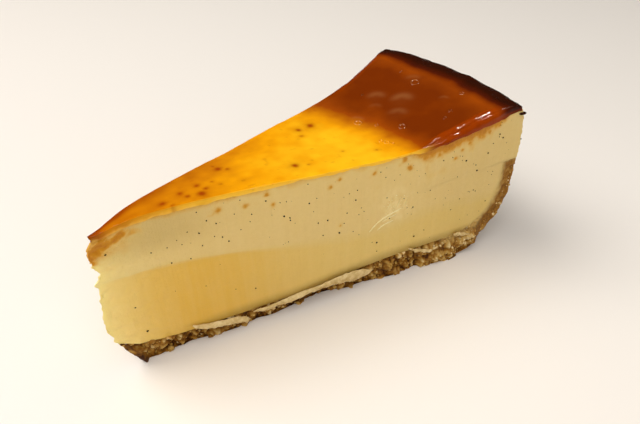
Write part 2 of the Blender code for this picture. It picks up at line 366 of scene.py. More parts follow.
def from_bend(r, z):
    """How far a point of the filling is from the crust's inner bend and upstand."""
    across = np.maximum((r - BEND_RADIUS) / INNER_BEND[0], 0.0)
    down = np.clip((BEND_HEIGHT - z) / INNER_BEND[1], 0.0, 1.0)
    return (1.0 - np.hypot(across, down)) * INNER_BEND[0]


def glaze_section(u, v):
    r = mix(TIP_RADIUS, GLAZE_RADIUS, u)
    low = cream_top(r)
    rounded = GLAZE_EDGE_ROUND * smooth(GLAZE_RADIUS - 2 * GLAZE_EDGE_ROUND, GLAZE_RADIUS, r)
    return r - rounded * v / 2, mix(low, glaze_top(r) - rounded / 2, v)


def place(r, angle, z):
    """Points at a distance and an angle from the cake's axis, before the tip leans."""
    return np.stack([r * np.cos(angle), r * np.sin(angle), z + 0.0 * r], axis=-1)


def from_spot(r, angle, spot_r, degrees):
    """How far points of the top are from a spot, whose distance from the axis is in millimetres."""
    return np.hypot(r - spot_r * MM, (angle - math.radians(degrees)) * r)


def quads(rows, ahead):
    """Faces between rows of points, where ahead holds each point's neighbour in its row."""
    return np.stack([rows[:-1], rows[1:], ahead[1:], ahead[:-1]], axis=-1).reshape(-1, 4)


def cut_normal(side):
    """Outward from the near cut face, side -1, or the far one, side 1. Side 0 has none."""
    return np.stack([-math.sin(HALF_ANGLE) * abs(side), math.cos(HALF_ANGLE) * side, 0.0 * side], axis=-1)


def settle(points):
    """Droops and leans the soft tip, lifts the burnt lip of the rim and moves all to its place."""
    moved = points.copy()
    r = np.hypot(points[:, 0], points[:, 1])
    turn = np.arctan2(points[:, 1], points[:, 0]) / HALF_ANGLE
    shift = -TIP_DROOP * hump(r, TIP_DROOP_LENGTH)
    shift += FAR_RISE * band(r, *FAR_RISE_BAND) * smooth(0.2, 1.0, turn)
    lip = LIP_RISE + LIP_RISE_MIDDLE * np.clip(1.0 - turn * turn, 0.0, 1.0)
    shift += lip * smooth(*LIP_FADE, r)
    moved[:, 2] += shift * smooth(*SETTLE_FADE, points[:, 2])
    z = moved[:, 2]
    lean = np.interp(z, *np.transpose(TIP_EDGE) * MM)
    rag = np.array([noise.noise(RAG_SEED + Vector((0.0, 0.0, h / TIP_RAG_SIZE))) for h in z]) * TIP_RAG
    moved[:, 0] -= (lean + rag) * np.exp(-r / TIP_LEAN_LENGTH)
    moved[:, 0] += TIP_X
    return moved


class Wedge:
    """The skin of one layer: points by distance, angle and height, and the faces between them.

    Each cut face is a grid, along by up. The rest is one strip round them. A side of the strip that is
    named in plain stays hidden in the cake, so its faces run from one cut to the other in one piece.
    """

    def __init__(self, section, along, up, across, plain=()):
        u, v = np.meshgrid(along, up, indexing="ij")
        r, z = section(u, v)
        grid = np.arange(u.size).reshape(u.shape)
        sides = {"bottom": grid[:, 0], "rim": grid[-1], "top": grid[::-1, -1], "tip": grid[0, ::-1]}
        split = {int(p) for side, points in sides.items() if side not in plain for p in points}
        loop = [int(p) for points in sides.values() for p in points[:-1]]
        far = u.size
        inner = len(across) - 2
        rows = {}
        extra = []
        for point in loop:
            rows[point] = [point, point + far]
            if point in split:
                first = 2 * far + len(extra) * inner
                rows[point] = [point, *range(first, first + inner), point + far]
                extra.append(point)
        near_faces = quads(grid[:, :-1], grid[:, 1:])
        self.faces = near_faces.tolist() + (near_faces[:, ::-1] + far).tolist()
        for a, b in zip(loop, loop[1:] + loop[:1]):
            row_a, row_b = rows[a], rows[b]
            if len(row_a) == len(row_b):
                self.faces += zip(row_a, row_a[1:], row_b[1:], row_b)
            else:
                self.faces.append((*row_a, *reversed(row_b)))
        extra = np.repeat(np.array(extra, int), inner)
        source = np.concatenate([np.arange(far), np.arange(far), extra])
        self.u, self.v = u.ravel()[source], v.ravel()[source]
        self.r, self.z = r.ravel()[source], z.ravel()[source]
        between = np.tile(across[1:-1], len(extra) // inner)
        self.angle = (np.concatenate([np.zeros(far), np.ones(far), between]) - 0.5) * SLICE_ANGLE
        self.side = np.repeat((-1, 1, 0), (far, far, len(extra)))
        self.points = place(self.r, self.angle, self.z)
        self.start = self.points.copy()
        self.from_cut = self.r * np.sin(HALF_ANGLE - np.abs(self.angle))

    def push_cut(self, amount):
        """Moves the points of the cut faces outwards."""
        self.points += amount[:, None] * cut_normal(self.side)

    def push_inner(self, amount):
        """Moves every point away from the nearer cut face, inwards."""
        self.points -= amount[:, None] * cut_normal(np.sign(self.angle))

    def push_out(self, amount):
        away = np.stack([np.cos(self.angle), np.sin(self.angle), 0.0 * self.angle], axis=-1)
        self.points += amount[:, None] * away

    def push_up(self, amount):
        self.points[:, 2] += amount


def show(name, points, faces, finish, node=None, looks=None, sharp=80.0):
    """Makes a piece of the slice from its points, which lean with the tip, and its faces."""
    mesh = bpy.data.meshes.new(name)
    mesh.from_pydata(settle(points).tolist(), [], faces)
    mesh.materials.append(finish)
    for key, values in (looks or {}).items():
        layer = mesh.attributes.new(key, "FLOAT", "POINT")
        layer.data.foreach_set("value", np.asarray(values, np.float32))
    mesh.shade_smooth()
    mesh.set_sharp_from_angle(angle=math.radians(sharp))
    mesh.validate()
    piece = bpy.data.objects.new(name, mesh)
    bpy.context.scene.collection.objects.link(piece)
    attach(piece, "root")
    if node:
        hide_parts(node)
    return piece


def spaced(count, ends=0.0):
    """Shares from 0 to 1, closer together near both ends."""
    t = np.linspace(0.0, 1.0, count)
    return t - ends * np.sin(2 * math.pi * t) / (2 * math.pi)


def linear(red, green, blue):
    """What a shader takes for a colour as it shows on a screen, from 0 to 255."""
    shares = (((c / 255 + 0.055) / 1.055) ** 2.4 if c > 10 else c / 255 / 12.92 for c in (red, green, blue))
    return (*shares, 1.0)


class Nodes:
    """Shorthand for building a material's nodes. Colours are as they show on a screen, from 0 to 255."""

    def __init__(self, name):
        self.material = bpy.data.materials.new(name)
        self.material.use_nodes = True
        self.tree = self.material.node_tree
        self.shader = self.tree.nodes["Principled BSDF"]

    def add(self, kind, inputs=None, **settings):
        node = self.tree.nodes.new(kind)
        for key, value in settings.items():
            setattr(node, key, value)
        for key, value in (inputs or {}).items():
            self.set(node.inputs[key], value)
        return node

    def set(self, socket, value):
        if isinstance(value, bpy.types.NodeSocket):
            self.tree.links.new(value, socket)
        else:
            socket.default_value = linear(*value) if socket.type == "RGBA" else value

    def attribute(self, name):
        return self.add("ShaderNodeAttribute", attribute_name=name).outputs["Fac"]

    def noise(self, size, detail=2.0, stretch=(1.0, 1.0, 1.0)):
        spot = self.add("ShaderNodeTexCoord").outputs["Object"]
        scaled = self.add("ShaderNodeMapping", {"Vector": spot, "Scale": stretch}).outputs[0]
        made = self.add("ShaderNodeTexNoise", {"Vector": scaled, "Scale": 1.0 / size, "Detail": detail})
        return made.outputs["Fac"]

    def math(self, operation, a, b):
        node = self.add("ShaderNodeMath", operation=operation)
        self.set(node.inputs[0], a)
        self.set(node.inputs[1], b)
        return node.outputs[0]

    def plus(self, a, b):
        return self.math("ADD", a, b)

    def times(self, a, b):
        return self.math("MULTIPLY", a, b)

    def ramp(self, value, stops):
        node = self.add("ShaderNodeValToRGB", {"Fac": value})
        elements = node.color_ramp.elements
        while len(elements) < len(stops):
            elements.new(0.5)
        for element, (position, colour) in zip(elements, stops):
            element.position = position
            element.color = linear(*colour)
        return node.outputs["Color"]

    def between(self, value, low, high):
        """0 up to the low value and 1 from the high one."""
        return self.ramp(value, ((low, BLACK), (high, WHITE)))

    def blend(self, share, a, b):
        node = self.add("ShaderNodeMix", data_type="RGBA")
        for socket, value in zip((node.inputs[0], node.inputs[6], node.inputs[7]), (share, a, b)):
            self.set(socket, value)
        return node.outputs[2]

    def tint(self, colour, name, other, strength=1.0):
        """Turns a colour into another where this attribute of the points is high."""
        return self.blend(self.times(self.attribute(name), strength), colour, other)

    def bump(self, height, distance):
        return self.add("ShaderNodeBump", {"Height": height, "Distance": distance}).outputs["Normal"]

    def finish(self, **values):
        for key, value in values.items():
            self.set(self.shader.inputs[key.replace("_", " ")], value)
        return self.material


def filling_material(name, own, other, warm):
    """Set cream or baked custard, cut with a knife. It turns into the other's colour at the line."""
    n = Nodes(name)
    mottle = n.times(n.plus(n.noise(0.009, 3.0), -0.5), 0.25)
    colour = n.tint(own, "warm", warm)
    colour = n.blend(n.between(n.plus(n.attribute("across_line"), mottle), 0.0, 1.0), colour, other)
    colour = n.blend(n.times(n.noise(0.0012, 3.0), 0.16), colour, (190, 152, 78))
    dragged = n.plus(n.noise(0.002, 4.0, (1.0, 1.0, 0.08)), -0.4)
    colour = n.blend(n.times(dragged, 0.22), colour, (250, 228, 168))
    colour = n.tint(colour, "glow", (255, 232, 150))
    colour = n.tint(colour, "scuff", (246, 226, 164), 0.85)
    colour = n.tint(colour, "shade", (150, 118, 44))
    stain = n.times(n.attribute("stain"), n.plus(n.noise(0.0011, 4.0), 0.5))
    soaked = n.ramp(stain, ((0.0, (226, 178, 70)), (0.35, (210, 146, 22)), (0.8, (178, 104, 2))))
    colour = n.blend(n.times(stain, 2.3), colour, soaked)
    drag = n.times(n.noise(0.0011, 2.0, (1.0, 1.0, 0.06)), 0.5)
    relief = n.plus(drag, n.times(n.noise(0.0005, 3.0), 0.35))
    return n.finish(
        Base_Color=colour,
        Roughness=0.46,
        Specular_IOR_Level=0.3,
        Subsurface_Weight=0.2,
        Subsurface_Radius=(1.0, 0.75, 0.35),
        Subsurface_Scale=0.0012,
        Normal=n.bump(relief, 0.00035),
    )


def caramel_material(name, specular, coat):
    """Caramel. On a cut it doesn't mirror as much."""
    n = Nodes(name)
    uneven = n.plus(n.noise(0.006, 4.0), -0.5)
    browning = n.plus(n.attribute("browning"), n.times(uneven, 0.1))
    colour = n.ramp(browning, ((0.0, (253, 190, 22)), (0.22, (240, 160, 4)), (0.45, (209, 126, 4)),
                               (0.7, (156, 68, 1)), (1.0, (114, 42, 0))))
    colour = n.tint(colour, "edge", (255, 198, 56))
    colour = n.tint(colour, "soak", (246, 200, 92))
    colour = n.tint(colour, "jelly", (150, 55, 1))
    colour = n.tint(colour, "spot", (160, 64, 0))
    # Painted reflection: pale crescents on the blisters and highlights along the ridges of the burst rings.
    colour = n.tint(colour, "milk", (214, 156, 92), 0.13)
    burnt = n.plus(n.attribute("burnt"), n.times(uneven, 0.25))
    colour = n.blend(n.between(burnt, 0.04, 0.6), colour, (88, 24, 1))
    colour = n.blend(n.between(burnt, 0.4, 1.0), colour, (48, 15, 3))
    charred = n.times(n.attribute("burnt"), n.noise(0.0007, 3.0))
    relief = n.plus(n.times(n.noise(0.0022, 2.0), 0.25), charred)
    return n.finish(
        Base_Color=colour,
        Roughness=n.plus(n.times(n.attribute("burnt"), 0.18), 0.065),
        Specular_IOR_Level=specular,
        Coat_Weight=coat,
        Coat_Roughness=0.05,
        Normal=n.bump(relief, 0.00025),
    )


def crumb_material():
    n = Nodes("crumb")
    uneven = n.times(n.plus(n.noise(0.0012, 4.0), -0.5), 0.5)
    stops = ((0.0, (76, 38, 3)), (0.35, (148, 98, 24)), (0.65, (192, 151, 74)), (1.0, (240, 216, 160)))
    colour = n.tint(n.ramp(n.plus(n.attribute("tone"), uneven), stops), "film", (218, 186, 114))
    relief = n.plus(n.noise(0.0009, 4.0), n.times(n.noise(0.0003, 2.0), 0.4))
    return n.finish(
        Base_Color=colour, Roughness=0.72, Specular_IOR_Level=0.3, Normal=n.bump(relief, 0.0004)
    )


def seed_material():
    n = Nodes("vanilla_seed")
    colour = n.blend(n.noise(0.0004, 2.0), (16, 9, 5), (52, 32, 14))
    return n.finish(Base_Color=colour, Roughness=0.6, Specular_IOR_Level=0.0)


def scrape_material():
    n = Nodes("scraped_cream")
    colour = n.blend(n.noise(0.0012, 2.0), (244, 222, 152), (252, 240, 190))
    relief = n.bump(n.noise(0.0006), 0.0002)
    return n.finish(Base_Color=colour, Roughness=0.25, Specular_IOR_Level=0.5, Normal=relief)


def filling_relief(skin):
    """Cut by a knife: slow waves, and torn towards the tip."""
    torn = np.exp(-skin.r / 0.01)
    slow = waves(skin.start, 0.007, 3, 2) * 0.00014
    tear = (waves(skin.start, 0.0021, 5, 3) - 0.15) * 0.0009 * torn
    skin.push_cut(slow + tear)
    tip = (skin.side == 0) & (skin.r < 0.004)
    skin.push_out(tip * np.abs(waves(skin.start, 0.0016, 9, 2)) * -0.0007)


# Caramel soaked into the cream of the near cut face: distance, height and radius, in millimetres
STAINS = ((30.6, 44.5, 1.0), (37.5, 43.5, 0.7), (43.4, 45.1, 0.6), (20.5, 48.2, 0.9), (84.7, 44.0, 1.2),
          (86.6, 40.8, 0.9), (96.6, 42.3, 1.2), (101.6, 43.7, 0.8), (106.9, 43.6, 0.9), (113.7, 45.6, 0.9),
          (117.1, 46.7, 0.8), (93.9, 44.8, 1.0), (102.6, 39.6, 0.8), (64.4, 43.4, 0.7), (61.7, 41.9, 0.6),
          (7.2, 46.4, 1.7), (6.2, 45.6, 1.4), (4.4, 45.2, 1.6), (3.2, 45.4, 2.2), (2.2, 44.4, 2.2),
          (1.3, 42.8, 1.8), (0.6, 41.2, 1.5), (64.7, 27.5, 0.5), (45.0, 41.5, 0.6), (75.0, 42.2, 0.7),
          (98.0, 43.4, 1.3), (91.5, 42.6, 1.0), (104.6, 41.8, 0.7))
TIP_STAINS_TO = 10.0


def filling_attributes(skin, rising):
    """How a point of the filling looks, by where it is. The line's blend goes the other way above it."""
    r, z, start = skin.r, skin.z, skin.start
    near = skin.side < 0
    wobble = waves(start, 0.006, 21, 2) * 0.0006
    softness = mix(0.001, 0.0028, smooth(0.02, 0.08, r))
    from_line = (z - layer_line(r)) * rising + wobble
    below_glaze = cream_top(r) + 0.8 * near_lift(r, skin.side) - z
    drips = waves(start, (0.0028, 0.0028, 0.006), 31, 3)
    reach = 0.0014 + 0.003 * (band(r, 0.084, 0.096, 0.114, 0.123) + np.exp(-r / 0.006))
    bleed = 0.34 + 0.36 * band(r, 0.086, 0.094, 0.116, 0.123)
    stain = np.clip(1.15 - below_glaze / (reach * (1.0 + 0.8 * drips)), 0.0, 1.0) * bleed
    pool = band(r, 0.08, 0.092, 0.108, 0.118)
    blots = smooth(0.45 - 0.3 * pool, 0.85 - 0.2 * pool, waves(start, 0.0042, 41, 2)) * (0.5 + 0.25 * pool)
    stain = np.maximum(stain, blots * np.exp(-np.abs(below_glaze) / 0.005))
    stain = np.maximum(stain, 0.36 * hump(r, 0.007) * smooth(0.0395, 0.0425, z))
    ragged = 1.0 + 0.8 * waves(start, 0.0012, 42, 3) * smooth(-0.01, 0.016, r)
    for stain_r, stain_z, radius in STAINS:
        away = np.hypot(r - stain_r * MM, z - stain_z * MM) * ragged
        strength = 0.64 if stain_r < TIP_STAINS_TO else 0.52
        stain = np.maximum(stain, near * strength * hump(away, radius * MM))
    scuffed = smooth(-0.5, 0.8, waves(start, (0.0012, 0.0012, 0.002), 44, 3))
    shade = 0.62 * smooth(0.0042, 0.0, z - base_top(r)) * smooth(0.01, 0.03, r)
    beside = smooth(0.0018, 0.0, from_bend(r, z) + wobble) * (r > BEND_RADIUS)
    shade = np.maximum(shade, 0.22 * beside * (z < CRUST_TOP + 0.0004))
    shade = np.maximum(shade, 0.3 * hump(r, 0.014, 0.014) * smooth(0.034, 0.042, z))
    return {
        "across_line": 0.5 * smooth(1.0, 0.0, from_line / softness),
        "stain": stain,
        "glow": 0.95 * np.exp(-r / 0.0065) + 0.06 * smooth(0.114, 0.127, r),
        "shade": np.maximum(shade, 0.11 * smooth(0.085, 0.115, r)),
        "warm": hump(r, 0.026, 0.02),
        "scuff": near * scuffed * hump(np.hypot(r - SCUFF_R, z - SCUFF_Z), SCUFF_RADIUS),
    }


def add_custard(finish):
    skin = Wedge(custard_section(), spaced(300), spaced(56), spaced(14, 0.5), plain=("bottom", "rim", "top"))
    filling_relief(skin)
    looks = filling_attributes(skin, -1)
    show("custard", skin.points, skin.faces, finish, "baked_custard", looks, sharp=40.0)


def add_cream(finish):
    skin = Wedge(cream_section(), spaced(300), spaced(76), spaced(72, 0.5), plain=("bottom", "top"))
    filling_relief(skin)
    r, z, start = skin.r, skin.z, skin.start
    outside = (skin.u > ALMOST_ONE) & (z > CRUST_TOP - 0.0001) & (r > 0.1235)
    rough = (waves(start, 0.003, 51, 3) - 0.7) * 0.0006 + waves(start, 0.011, 52) * 0.0003
    foot = 0.0007 * smooth(CRUST_TOP + 0.0035, CRUST_TOP, z)
    crumbly = waves(start, 0.0014, 53, 2) * 0.0006
    skin.push_out(np.where(outside, rough + crumbly - foot, 0.0))
    skin.push_up(near_lift(r, skin.side) * smooth(0.88, 1.0, skin.v))
    hem = outside & (z < CRUST_TOP + 0.0001) & (skin.side == 0)
    skin.push_up(np.where(hem, -0.0016 * smooth(0.0, 0.0015, skin.from_cut), 0.0))
    skin.push_up(-0.0011 * smooth(0.1238, 0.126, r) * smooth(0.044, 0.047, z))
    looks = filling_attributes(skin, 1)
    show("cream", skin.points, skin.faces, finish, "vanilla_cream", looks, sharp=40.0)


def glaze_height(r, angle):
    """Blisters and waves of the caramel's top."""
    points = place(r, angle, glaze_top(r))
    height = waves(points, GLAZE_WAVE_SIZE, 61) * GLAZE_WAVE + waves(points, 0.0035, 62) * 0.00002
    for dome_r, degrees, width, rise, _ in DOMES:
        height = height + rise * MM * hump(from_spot(r, angle, dome_r, degrees), 0.8 * width * MM)
    charred = smooth(0.1165, 0.1215, r)
    bumps = waves(points, 0.0024, 63, 3) * 0.00035 + waves(points, 0.006, 64, 2) * 0.0006 - 0.0002
    return height + charred * bumps


# Brown spots in the yellow caramel: millimetres from the axis, degrees, radius in millimetres
SPOTS = ((71.5, 7.3, 1.3), (66.9, 7.6, 1.0), (65.5, 5.1, 0.6), (54.3, -6.7, 1.1), (36.5, 5.5, 1.2),
         (38.4, 3.3, 0.7), (36.3, 8.6, 0.6), (27.9, -8.6, 1.2), (29.5, -5.4, 0.8), (28.1, -0.8, 0.9),
         (23.3, -2.3, 0.9), (24.5, -7.3, 0.8), (18.3, -6.6, 1.0), (20.2, -12.0, 0.6), (33.5, -5.6, 0.5),
         (32.1, -1.6, 0.5), (58.0, -7.9, 0.5), (70.1, -6.3, 0.5), (78.9, -9.3, 0.5), (39.2, -7.3, 0.4))


def caramel_attributes(r, angle, z):
    points = place(r, angle, z)
    turn = angle / HALF_ANGLE
    far_half = smooth(-0.2, 1.0, turn)
    edge_r = mix(*BROWN_FROM, (turn + 1) / 2) + waves(points, 0.009, 71, 2) * 0.0016
    blur = 0.0085 + 0.0035 * far_half
    deep = smooth(edge_r - blur, edge_r + blur, r)
    tip = 0.52 * smooth(0.072, 0.0, r) + 0.28 * hump(r, 0.0045)
    early = 0.23 * smooth(edge_r - 0.015, edge_r - 0.002, r) * (1 - 0.5 * smooth(0.0, 1.0, turn))
    mottle = waves(points, (0.003, 0.0022, 0.01), 78, 2) * 0.09
    browning = tip + (0.2 * far_half + early + mottle) * (1 - deep) + waves(points, 0.007, 72, 3) * 0.12
    browning = browning + 0.02 + (0.98 - 0.22 * smooth(0.107, 0.117, r)) * deep
    spot = np.zeros(len(r))
    ragged = 1.0 + 0.35 * waves(points, 0.0012, 73, 2)
    for spot_r, degrees, radius in SPOTS:
        away = from_spot(r, angle, spot_r, degrees) * ragged / MM
        mark = 0.9 * hump(away, 0.8 * radius) + 0.25 * hump(away, 2.4 * radius)
        spot = np.maximum(spot, mark * min(1.0, 0.25 + radius / 1.4))
    freckle = smooth(0.6, 0.85, waves(points, 0.0013, 74)) * smooth(0.01, 0.03, r) * (1 - deep) * 0.22
    # Painted reflection: a pale crescent on the far side of each blister and a faint haze over all of it.
    milk = np.zeros(len(r))
    for dome_r, degrees, width, _, amount in DOMES:
        away = from_spot(r, angle, dome_r, degrees)
        aside = (angle - math.radians(degrees)) * r
        facing = (0.8 * (r - dome_r * MM) + 0.6 * aside) / np.maximum(away, 1e-6)
        share = away / (width * MM)
        crescent = hump(share, 0.36, 0.68) * smooth(-0.2, 1.0, facing)
        milk = np.maximum(milk, amount * (crescent + 0.15 * hump(share, 0.8)))
    rim_from = BURNT_FROM + 0.0012 * turn * turn + waves(points, 0.007, 75, 3) * 0.0009
    below = (glaze_top(r) - z) / glaze_thickness(r)
    on_side = np.abs(angle) > HALF_ANGLE - 1e-6
    burnt = smooth(rim_from, rim_from + 0.0066, r) * (1.0 - 0.55 * on_side * smooth(0.25, 0.8, below))
    thick = smooth(0.088, 0.097, r)
    cut = on_side * (0.55 + 0.45 * smooth(0.0, 0.4, below))
    from_cut = r * np.sin(HALF_ANGLE - np.abs(angle)) + waves(points, 0.003, 77, 2) * 0.0004
    sagged = smooth(1.05, 0.65, from_cut / SAG) * pooled(r) * np.where(angle < 0, 1.0, 0.45)
    soak = on_side * smooth(0.45, 1.1, below + 0.4 * waves(points, 0.0012, 76, 2))
    return {
        "browning": np.clip(browning, 0.0, 1.0),
        "spot": np.clip(np.maximum(spot, freckle), 0.0, 1.0),
        "burnt": burnt,
        "milk": milk,
        "jelly": np.maximum(cut * thick * 0.85, sagged * 0.8),
        "soak": soak * (1 - thick) * 0.55,
        "edge": cut * (1 - thick) * mix(0.1, 0.95, smooth(0.003, 0.03, r)),
    }


def add_glaze(finish, cut_finish):
    fine_from = 0.64
    coarse = np.linspace(0.0, fine_from, 150, endpoint=False)
    along = np.concatenate([coarse, np.linspace(fine_from, 1.0, 180)])
    skin = Wedge(glaze_section, along, spaced(13), spaced(150, 0.75), plain=("bottom",))
    r, z, start, side, from_cut = skin.r, skin.z, skin.start, skin.side, skin.from_cut
    top = skin.v > ALMOST_ONE
    low = cream_top(r)
    share = np.clip((z - low) / np.maximum(glaze_top(r) - low, 1e-6), 0.0, 1.0)
    skin.push_up(glaze_height(r, skin.angle) * share)
    bulge = GLAZE_PROUD + waves(start, 0.0026, 81, 2) * 0.00012
    thick = band(r, *THICK_BAND)
    lumps = 1.0 + 0.6 * waves(start, 0.0022, 82, 2)
    skin.push_cut(bulge + 0.00035 * thick * np.sin(math.pi * share) * lumps)
    drips = waves(start, (0.003, 0.003, 0.05), 83, 3) * 0.0006 - 0.0001
    drips -= 0.0003 * (0.5 + 0.5 * waves(start, (0.0015, 0.0015, 0.05), 89, 2)) * (r < 0.08)
    drips -= 0.0013 * smooth(0.114, 0.1185, r)
    drips += near_lift(r, side)
    skin.push_up(np.where(side != 0, drips * (1.0 - share) * smooth(0.0, 0.02, r), 0.0))
    rim = skin.u > ALMOST_ONE
    skin.push_out(np.where(rim, waves(start, 0.0022, 85, 3) * 0.0004, 0.0))
    runs = 0.0004 + 0.0009 * waves(start * FLAT, 0.0035, 86, 2)
    skin.push_up(np.where(rim, -runs * (1.0 - share), 0.0))
    away = np.where(top, from_cut, 0.0)
    down = np.where(top, 0.0, glaze_top(r) - z)
    row = np.stack([r, r * 0.0, side * 0.01], axis=-1)
    uneven = 1.0 + 0.75 * thick * waves(row, 0.0014, 84, 2)
    sag = SAG * pooled(r) * (1.0 + 0.2 * waves(row, 0.005, 87)) * np.where(skin.angle < 0, 1.0, 0.6)
    radius = np.minimum(CUT_EDGE_ROUND * uneven + sag, 0.45 * r * HALF_ANGLE)
    turn = np.clip(((away - down) / radius + 1.0) / 2.0, 0.0, 1.0) * math.pi / 2
    near_edge = ((away < radius) & top) | ((side != 0) & (down < radius))
    inwards = np.where(near_edge, radius * (1 - np.cos(turn)) - away, 0.0)
    lower = np.where(near_edge, radius * (1 - np.sin(turn)) - down, 0.0)
    dents = waves(start, (0.0026, 0.0026, 0.0016), 88, 2) * 0.00015 * pooled(r) * near_edge
    skin.push_inner(inwards - dents * np.cos(turn))
    skin.push_up(dents * np.sin(turn) - lower)
    looks = caramel_attributes(r, skin.angle, z)
    caramel = show("caramel", skin.points, skin.faces, finish, "caramel_glaze", looks, sharp=55.0)
    caramel.data.materials.append(cut_finish)
    near_cut = (from_cut < mix(0.0004, 0.0026, smooth(0.084, 0.094, r))) & (r < 0.0995)
    glossy_edge = (share > 0.35) & (r > 0.091)
    charred = r > CHARRED_FROM
    for face in caramel.data.polygons:
        points = list(face.vertices)
        on_side = abs(side[points].sum()) == len(points) and not np.all(glossy_edge[points])
        if on_side or np.all(near_cut[points]) or np.all(charred[points]):
            face.material_index = 1


# How far the foot of the near cut stands out, by distance from the cake's axis, in millimetres
FOOT = ((8.0, 0.0), (17.0, -1.0), (24.0, -0.4), (31.0, 0.3), (38.0, -0.5), (43.0, -0.3), (48.0, -1.0),
        (54.0, -2.2), (58.0, -2.7), (63.0, -1.9), (68.0, -0.6), (73.0, -0.9), (79.0, 0.4), (86.0, 0.9),
        (92.0, 0.2), (98.0, 2.1), (104.0, 2.4), (107.0, 2.0), (109.5, 1.2), (112.0, 1.6), (114.5, 1.9),
        (116.5, 0.4), (118.0, -0.4))


def crust_foot(points, r, side):
    """How far the foot of the broken crust stands out of its cut face."""
    near = np.interp(r, *np.transpose(FOOT) * MM)
    other = waves(points * FLAT, 0.0075, 95, 2) * 0.003 * smooth(0.114, 0.104, r)
    ragged = 0.0008 * (0.5 + 0.5 * waves(points, 0.005, 93, 2)) * (r < BEND_RADIUS)
    return (np.where(side < 0, near + 0.25 * other, other) - ragged) * smooth(*CRUST_TIP_FADE, r)


def crust_relief(points, r, cut=True):
    """Relief and tone of the crumbs, darker in the cracks as painted shade. The knife smeared them on the
    cut, where the crust stands up.
    """
    lumps, lump_tag = grains(points, 0.0042, 91)
    middle, tag = grains(points, 0.0023, 92)
    small, small_tag = grains(points, 0.001, 94)
    standing = smooth(*STANDING_FADE, r)
    relief = (lumps - 0.5) * 0.0019 + (middle - 0.5) * 0.001 + (small - 0.5) * 0.00038
    tone = 0.52 + 0.24 * (tag - 0.5) + 0.26 * (small_tag - 0.5) + 0.12 * (lump_tag - 0.5)
    # Darker where the grains are low: painted shade in the cracks between them.
    tone = tone + 0.58 * (middle - 0.5) + 0.4 * (lumps - 0.45) + 0.22 * (small - 0.5)
    tone = tone + 0.1 * smooth(0.09, PALER_FADE[1], r)
    smeared = standing * cut
    pressed = standing * (1.0 - smeared)
    tone = mix(tone + 0.1 * smooth(*PALER_FADE, r), 0.37 + 0.32 * (tone - 0.5), smeared)
    # On the pressed outside: painted shade in the fine cracks, and a little darker overall.
    tone = tone + pressed * (0.5 * (small - 0.5) - 0.06)
    return relief * (1.0 - 0.78 * smeared - 0.45 * pressed), tone, middle


def add_crust(finish):
    skin = Wedge(crust_section, spaced(500), spaced(34), spaced(150, 0.4), plain=("top",))
    r, z, v, start, side = skin.r, skin.z, skin.v, skin.start, skin.side
    relief, tone, middle = crust_relief(start, r, side != 0)
    foot = crust_foot(start, r, np.where(skin.angle < 0, -1, 1))
    low = smooth(1.0, FOOT_SHARE, v)
    skin.push_cut(relief * smooth(*CRUST_TIP_FADE, r) + foot * low)
    reach = np.minimum(0.008, r * math.sin(HALF_ANGLE))
    fading = np.clip(1.0 - skin.from_cut / np.maximum(reach, 1e-6), 0.0, 1.0)
    skin.push_inner(np.where(side == 0, -foot * low * fading, 0.0))
    outside = (v < 0.001) & (r > BEND_RADIUS + 0.004)
    skin.push_out(np.where(outside, relief - mix(0.0007, 0.0002, smooth(0.028, CRUST_TOP, z)), 0.0))
    under = (v < 0.001) & (r <= BEND_RADIUS) & (side == 0)
    skin.push_up(np.where(under, (1.0 - middle) * 0.0003, 0.0))
    rise = 0.0012 * waves(start, 0.0045, 96, 2)
    skin.push_up(rise * smooth(0.03, CRUST_TOP, z) * np.where(v < 0.5, 1.0, 0.4))
    skin.points[:, 2] = np.maximum(skin.points[:, 2], 0.0)
    # Painted shade on the lower crust where its foot is set back, under the flakes.
    tone = tone - 0.25 * low * smooth(0.0005, 0.003, -foot)
    wobble = waves(start, 0.0025, 97, 2)
    film = smooth(0.55, 1.02, v + 0.08 * wobble) * smooth(0.098, 0.108, r)
    film = np.maximum(film, smooth(0.0314, 0.0334, z + 0.0006 * wobble)) * 0.9
    looks = {"tone": tone, "film": np.where(side != 0, film, 0.0)}
    show("crust", skin.points, skin.faces, finish, "crumb_crust", looks)


def ball(subdivisions):
    """Points and faces of a ball of radius 1."""
    made = bmesh.new()
    bmesh.ops.create_icosphere(made, subdivisions=subdivisions, radius=1.0)
    points = np.array([v.co[:] for v in made.verts])
    faces = np.array([[v.index for v in f.verts] for f in made.faces])
    made.free()
    return points, faces


def turn_any_way(rng):
    """A random rotation."""
    turn, _ = np.linalg.qr(rng.normal(size=(3, 3)))
    return turn


def scattered(template, centres, sizes, rng, roughness, flat=0.6):
    """Uneven copies of a ball at these centres, joined."""
    points, faces = template
    made_points, made_faces = [], []
    for index, (centre, size) in enumerate(zip(centres, sizes)):
        dents = 1.0 + roughness * waves(points, 0.9, 200 + index % 40)
        shape = points * dents[:, None] * rng.uniform(flat, 1.0, 3)
        made_points.append(shape @ turn_any_way(rng).T * size + centre)
        made_faces.append(faces + index * len(points))
    return np.concatenate(made_points), np.concatenate(made_faces).tolist()


def on_cut(r, z, side, proud):
    """Points this far outside a cut face, at these distances from the axis and heights."""
    return place(r, side * HALF_ANGLE, z) + (proud + 0.0 * r)[:, None] * cut_normal(side + 0.0 * r)


# Loose crumbs on the cut faces and outside: how many, and their usual size
CUT_CRUMBS, CUT_CRUMB_SIZE = 1300, 0.00046
WALL_CRUMBS, WALL_CRUMB_SIZE = 500, 0.00038


